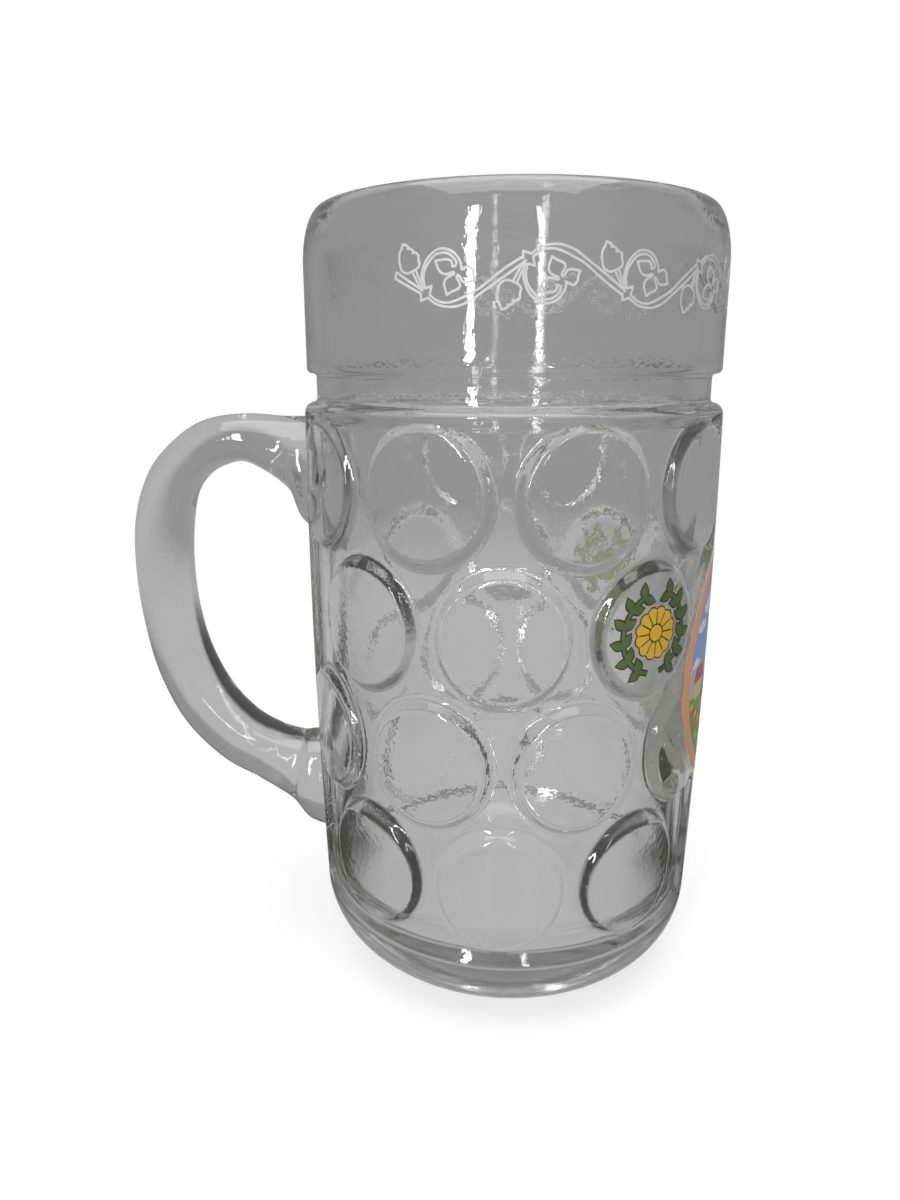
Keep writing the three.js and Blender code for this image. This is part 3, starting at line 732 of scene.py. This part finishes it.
snow = joined_slabs("picture_snow", [[shape] for shape in SNOW])
puffs = [[oval(size * CLOUD_WIDE, size * CLOUD_TALL, steps=24, x=x, y=y)] for x, y, size in CLOUDS]
clouds = joined_slabs("picture_clouds", puffs)
firs = joined_slabs("picture_firs", [[fir(*tree)] for tree in FIRS])
house = flat_slab("picture_house", [HOUSE, WINDOW, DOOR])
roof = flat_slab("picture_roof", [ROOF])
red_flowers = flowers("picture_red_flowers", RED_FLOWERS, *RED_BLOOM)
yellow_flowers = flowers("picture_yellow_flowers", YELLOW_FLOWERS, *YELLOW_BLOOM)
for piece, ink, slot in (
    (snow, enamel("snow_enamel", (0.78, 0.80, 0.82)), "white_enamel"),
    (clouds, enamel("cloud_enamel", (0.74, 0.77, 0.82)), "white_enamel"),
    (firs, enamel("fir_enamel", (0.035, 0.085, 0.03)), "green_enamel"),
    (house, enamel("plaster_enamel", (0.75, 0.52, 0.16)), "gold_enamel"),
    (roof, enamel("roof_enamel", (0.42, 0.06, 0.03)), "orange_enamel"),
    (red_flowers, enamel("red_enamel", (0.55, 0.05, 0.03)), "orange_enamel"),
    (yellow_flowers, enamel("yellow_enamel", (0.75, 0.50, 0.03)), "gold_enamel"),
):
    lay_on_glass(piece, 0, PICTURE_HEIGHT, SECOND_RISE, PICTURE_STEP)
    finish_print(piece, ink, slot)


# Emblems: a gold rosette inside a green wreath, printed on the boss on each side of the picture.
# A black key screen goes on first, a little larger, and leaves the outlines.
# Both bosses are the front ones of the third row.
EMBLEM_ANGLE = 90.0 - BOSS_PITCH
EMBLEM_HEIGHT = BOSS_ROWS[2]
EMBLEM_RADIUS = 9.8
KEY_LINE = 0.34
ROSETTE_RADIUS = 5.6
ROSETTE_PETALS = 12
ROSETTE_EYE = 2.0
PETAL_END = 5.2
WREATH_ENDS = (-1.32, 1.12)
WREATH_POINTS = 12
TWIG_WIDTH = 0.9
LEAF_LENGTH = 3.6
LEAF_HALF_WIDTH = 1.05
LEAF_BELLY = 0.8
LEAF_POINTS = 14
LEAF_LEANS = (0.5, 2.35)


def leaf(x, y, turn, grow):
    """A pointed leaf from a spot on the twig, larger all round by grow."""
    edge = []
    for t in np.linspace(0, 1, LEAF_POINTS):
        edge.append((t * LEAF_LENGTH, LEAF_HALF_WIDTH * math.sin(math.pi * t ** LEAF_BELLY)))
    outline = edge + [(a, -b) for a, b in edge[-2:0:-1]]
    middle = LEAF_LENGTH / 2
    longer, wider = 1 + 2 * grow / LEAF_LENGTH, 1 + grow / LEAF_HALF_WIDTH
    spread = [((a - middle) * longer + middle, b * wider) for a, b in outline]
    c, s = math.cos(turn), math.sin(turn)
    return [(x + a * c - b * s, y + a * s + b * c) for a, b in spread]


def wreath_side(side, grow):
    """Twig and leaves of one half of the wreath."""
    turns = np.linspace(*WREATH_ENDS, WREATH_POINTS)
    twig = [(side * EMBLEM_RADIUS * math.cos(t), EMBLEM_RADIUS * math.sin(t)) for t in turns]
    shapes = [[ribbon(twig, TWIG_WIDTH + 2 * grow)]]
    for t in turns[1::2]:
        x, y = EMBLEM_RADIUS * math.cos(t), EMBLEM_RADIUS * math.sin(t)
        for lean in LEAF_LEANS:
            shapes.append([[(side * a, b) for a, b in leaf(x, y, t + lean, grow)]])
    return shapes


gold_enamel = enamel("gold_enamel", (0.66, 0.40, 0.025))
green_enamel = enamel("green_enamel", (0.07, 0.12, 0.025))
black_enamel = enamel("black_enamel", (0.012, 0.011, 0.010), 0.03, (0.42, 0.38, 0.27))
petal_lines = []
for t in round_turns(ROSETTE_PETALS):
    ends = [(reach * math.cos(t), reach * math.sin(t)) for reach in (ROSETTE_EYE, PETAL_END)]
    petal_lines.append([ribbon(ends, KEY_LINE)])
rosette_edge = scalloped(ROSETTE_RADIUS, ROSETTE_PETALS, SCALLOP_DEPTH)
key_edge = scalloped(ROSETTE_RADIUS + KEY_LINE, ROSETTE_PETALS, SCALLOP_DEPTH)
key_shapes = [[key_edge]] + wreath_side(-1, KEY_LINE) + wreath_side(1, KEY_LINE)
for name, side in (("near_emblem", -1), ("far_emblem", 1)):
    key = joined_slabs(name + "_key", key_shapes)
    rosette = flat_slab(name + "_gold", [rosette_edge])
    lines = joined_slabs(name + "_petal_lines", petal_lines)
    join_solid(rosette, lines, "DIFFERENCE")
    ring = flat_slab(name + "_ring", [disc(ROSETTE_EYE + KEY_LINE, steps=32), disc(ROSETTE_EYE, steps=32)])
    join_solid(rosette, ring, "DIFFERENCE")
    left = joined_slabs(name + "_left_leaves", wreath_side(-1, 0))
    right = joined_slabs(name + "_right_leaves", wreath_side(1, 0))
    for piece, ink, slot, rise, replaced in (
        (key, black_enamel, "green_enamel", PRINT_RISE, ()),
        (rosette, gold_enamel, "gold_enamel", SECOND_RISE, (name + "_rosette",)),
        (left, green_enamel, "green_enamel", SECOND_RISE, (name + "_wreath_left",)),
        (right, green_enamel, "green_enamel", SECOND_RISE, (name + "_wreath_right",)),
    ):
        lay_on_glass(piece, side * EMBLEM_ANGLE, EMBLEM_HEIGHT, rise)
        finish_print(piece, ink, slot, *replaced)


# Floor: a plain pale sheet under the mug that runs on to the white background.
# Glass sees it as a glowing grey table of painted light and shade: painted shade off to both sides that
# pales again towards the walls.
# Lengths from here on are in metres.
FLOOR_REACH = 3
FLOOR_DROP = 0.0002
# Tones of the table that glass sees, which glows: a plain tone, and a darker far tone that is a painted
# fall-off of light
TABLE_TONE = 0.53
FAR_TONE = 0.34
FRONT_TONE = (0.5, 0.5, 0.49)
FRONT_SIDE = (0.45, 0.45, 0.44)
# Painted shade beside the mug on the glowing table: its tone, its middle, where it starts and where it
# fades
PAINTED_SHADE_SIDE = (0.055, 0.055, 0.042)
DARK_MIDDLE = 0.15
DARK_STARTS = (0.050, 0.075)
DARK_ENDS = (0.40, 0.60)
FAR_STARTS = (0.40, 0.90)
# Painted pool of light on the glowing table right under the foot, dimmer outwards
FOOT_PAINTED_LIGHT = (0.010, 0.040)
SHADOW_FADES = (0.10, 0.30)
corners = [(-1, -1), (1, -1), (1, 1), (-1, 1)]
floor = mesh_object("floor", [(x * FLOOR_REACH, y * FLOOR_REACH, 0) for x, y in corners], [(0, 1, 2, 3)])
floor.location.z = -FLOOR_DROP


def grey(tone):
    return tone, tone, tone


def bearing_ramp(nodes, links, vector, stops):
    """Tone by the bearing of a vector, with stops from 0 in front of the mug to 1 behind it."""
    level = nodes.new("ShaderNodeVectorMath")
    level.operation = "MULTIPLY"
    level.inputs[1].default_value = (1, 1, 0)
    unit = nodes.new("ShaderNodeVectorMath")
    unit.operation = "NORMALIZE"
    parts = nodes.new("ShaderNodeSeparateXYZ")
    share = nodes.new("ShaderNodeMapRange")
    share.inputs["From Min"].default_value = -1
    ramp = nodes.new("ShaderNodeValToRGB")
    ramp.color_ramp.interpolation = "EASE"
    while len(ramp.color_ramp.elements) < len(stops):
        ramp.color_ramp.elements.new(0.5)
    for element, (position, colour) in zip(ramp.color_ramp.elements, stops):
        element.position = position
        element.color = (*colour, 1)
    links.new(vector, level.inputs[0])
    links.new(level.outputs["Vector"], unit.inputs[0])
    links.new(unit.outputs["Vector"], parts.inputs["Vector"])
    links.new(parts.outputs["Y"], share.inputs["Value"])
    links.new(share.outputs["Result"], ramp.inputs["Fac"])
    return ramp.outputs["Color"]


paper, nodes, links, shader, output = new_material("floor_paper")
nodes.remove(shader)
place = nodes.new("ShaderNodeTexCoord")


def distance_from(x):
    """How far a spot on the floor is from a place to the right of the mug's axis."""
    away = nodes.new("ShaderNodeVectorMath")
    away.operation = "DISTANCE"
    away.inputs[1].default_value = (x, 0, 0)
    links.new(place.outputs["Object"], away.inputs[0])
    return away.outputs["Value"]


from_axis = distance_from(0.0)


def ring_tone(inner, outer, first, second, distance=from_axis):
    """Value that goes from first to second between two radii round the mug or another place."""
    tone = nodes.new("ShaderNodeMapRange")
    tone.interpolation_type = "SMOOTHSTEP"
    for socket, value in (("From Min", inner), ("From Max", outer), ("To Min", first), ("To Max", second)):
        tone.inputs[socket].default_value = value
    links.new(distance, tone.inputs["Value"])
    return tone.outputs["Result"]


# The table as glass sees it, glowing with painted light and shade: plain under the mug, a painted pool of
# light right under the foot, painted shade beside it, and one darker tone far away as a painted fall-off of
# light
painted_shade_sides = bearing_ramp(nodes, links, place.outputs["Object"], [
    (0.0, FRONT_TONE), (0.26, FRONT_SIDE), (0.34, PAINTED_SHADE_SIDE), (0.71, PAINTED_SHADE_SIDE),
    (0.76, grey(TABLE_TONE)), (1.0, grey(TABLE_TONE))])
close = nodes.new("ShaderNodeMix")
close.data_type = "RGBA"
close.inputs["A"].default_value = (*grey(TABLE_TONE), 1)
# Painted shade beside the mug, which fades again far off
painted_shade_band = nodes.new("ShaderNodeMath")
painted_shade_band.operation = "MULTIPLY"
links.new(ring_tone(*DARK_STARTS, 0, 1), painted_shade_band.inputs[0])
links.new(ring_tone(*DARK_ENDS, 1.0, 0.2, distance_from(DARK_MIDDLE)), painted_shade_band.inputs[1])
links.new(painted_shade_band.outputs["Value"], close.inputs["Factor"])
links.new(painted_shade_sides, close.inputs["B"])
far = nodes.new("ShaderNodeMix")
far.data_type = "RGBA"
far.inputs["B"].default_value = (*grey(FAR_TONE), 1)
links.new(ring_tone(*FAR_STARTS, 0, 1), far.inputs["Factor"])
links.new(close.outputs["Result"], far.inputs["A"])
# The table glows with this painted light and shade; the lamps do not light it
table = nodes.new("ShaderNodeEmission")
links.new(far.outputs["Result"], table.inputs["Color"])
links.new(ring_tone(*FOOT_PAINTED_LIGHT, 1.0, 0.9), table.inputs["Strength"])
# The sheet as the camera sees it: white, with a soft shadow near the mug
lit = nodes.new("ShaderNodeBsdfDiffuse")
lit.inputs["Color"].default_value = (*grey(0.95), 1)
white = nodes.new("ShaderNodeEmission")
shown = nodes.new("ShaderNodeMixShader")
ground = nodes.new("ShaderNodeMixShader")
light_path = nodes.new("ShaderNodeLightPath")
links.new(ring_tone(*SHADOW_FADES, 0.6, 0.0), shown.inputs["Fac"])
links.new(white.outputs["Emission"], shown.inputs[1])
links.new(lit.outputs["BSDF"], shown.inputs[2])
links.new(light_path.outputs["Is Camera Ray"], ground.inputs["Fac"])
links.new(table.outputs["Emission"], ground.inputs[1])
links.new(shown.outputs["Shader"], ground.inputs[2])
links.new(ground.outputs["Shader"], output.inputs["Surface"])
floor.data.materials.append(paper)


# Light: two tall soft lamps behind the camera, a broad one overhead, and grey walls, seen only in
# and through the glass. They are darker off to both sides, which edges the glass. The overhead lamp
# is kept out of what shows through the glass, or it would stand in the heel.
LAMP_AIM = (0, 0, 0.12)
DARK_WALL = (0.17, 0.17, 0.15)
BACK_WALL = 0.30
ROOM_TONE = 0.45


def soft_lamp(name, spot, width, height, power, aim):
    lamp = bpy.data.lights.new(name, "AREA")
    lamp.shape = "RECTANGLE"
    lamp.size = width
    lamp.size_y = height
    lamp.energy = power
    lamp_object = bpy.data.objects.new(name, lamp)
    lamp_object.location = spot
    lamp_object.rotation_euler = (Vector(aim) - Vector(spot)).to_track_quat("-Z", "Y").to_euler()
    scene.collection.objects.link(lamp_object)
    return lamp_object


soft_lamp("left_window", (-0.46, -1.27, 0.55), width=0.10, height=0.9, power=9, aim=LAMP_AIM)
soft_lamp("right_window", (0.33, -1.31, 0.55), width=0.05, height=0.9, power=2.5, aim=LAMP_AIM)
top_light = soft_lamp("top_light", (0.0, -0.2, 1.6), width=1.6, height=1.6, power=22, aim=(0, 0, 0))
top_light.visible_transmission = False

world = bpy.data.worlds.new("studio")
scene.world = world
world.use_nodes = True
nodes, links = world.node_tree.nodes, world.node_tree.links
background = nodes["Background"]
light_path = nodes.new("ShaderNodeLightPath")
direction = nodes.new("ShaderNodeTexCoord")
walls = bearing_ramp(nodes, links, direction.outputs["Generated"], [
    (0.0, FRONT_TONE), (0.30, FRONT_SIDE), (0.40, DARK_WALL), (0.72, DARK_WALL),
    (0.82, grey(BACK_WALL)), (1.0, grey(BACK_WALL))])
in_glass = nodes.new("ShaderNodeMath")
in_glass.operation = "MAXIMUM"
links.new(light_path.outputs["Is Glossy Ray"], in_glass.inputs[0])
links.new(light_path.outputs["Is Transmission Ray"], in_glass.inputs[1])
room = nodes.new("ShaderNodeMix")
room.data_type = "RGBA"
room.inputs["A"].default_value = (*grey(ROOM_TONE), 1)
links.new(walls, room.inputs["B"])
links.new(in_glass.outputs["Value"], room.inputs["Factor"])
# White for the camera itself
seen = nodes.new("ShaderNodeMix")
seen.data_type = "RGBA"
seen.inputs["B"].default_value = (1, 1, 1, 1)
links.new(room.outputs["Result"], seen.inputs["A"])
links.new(light_path.outputs["Is Camera Ray"], seen.inputs["Factor"])
links.new(seen.outputs["Result"], background.inputs["Color"])
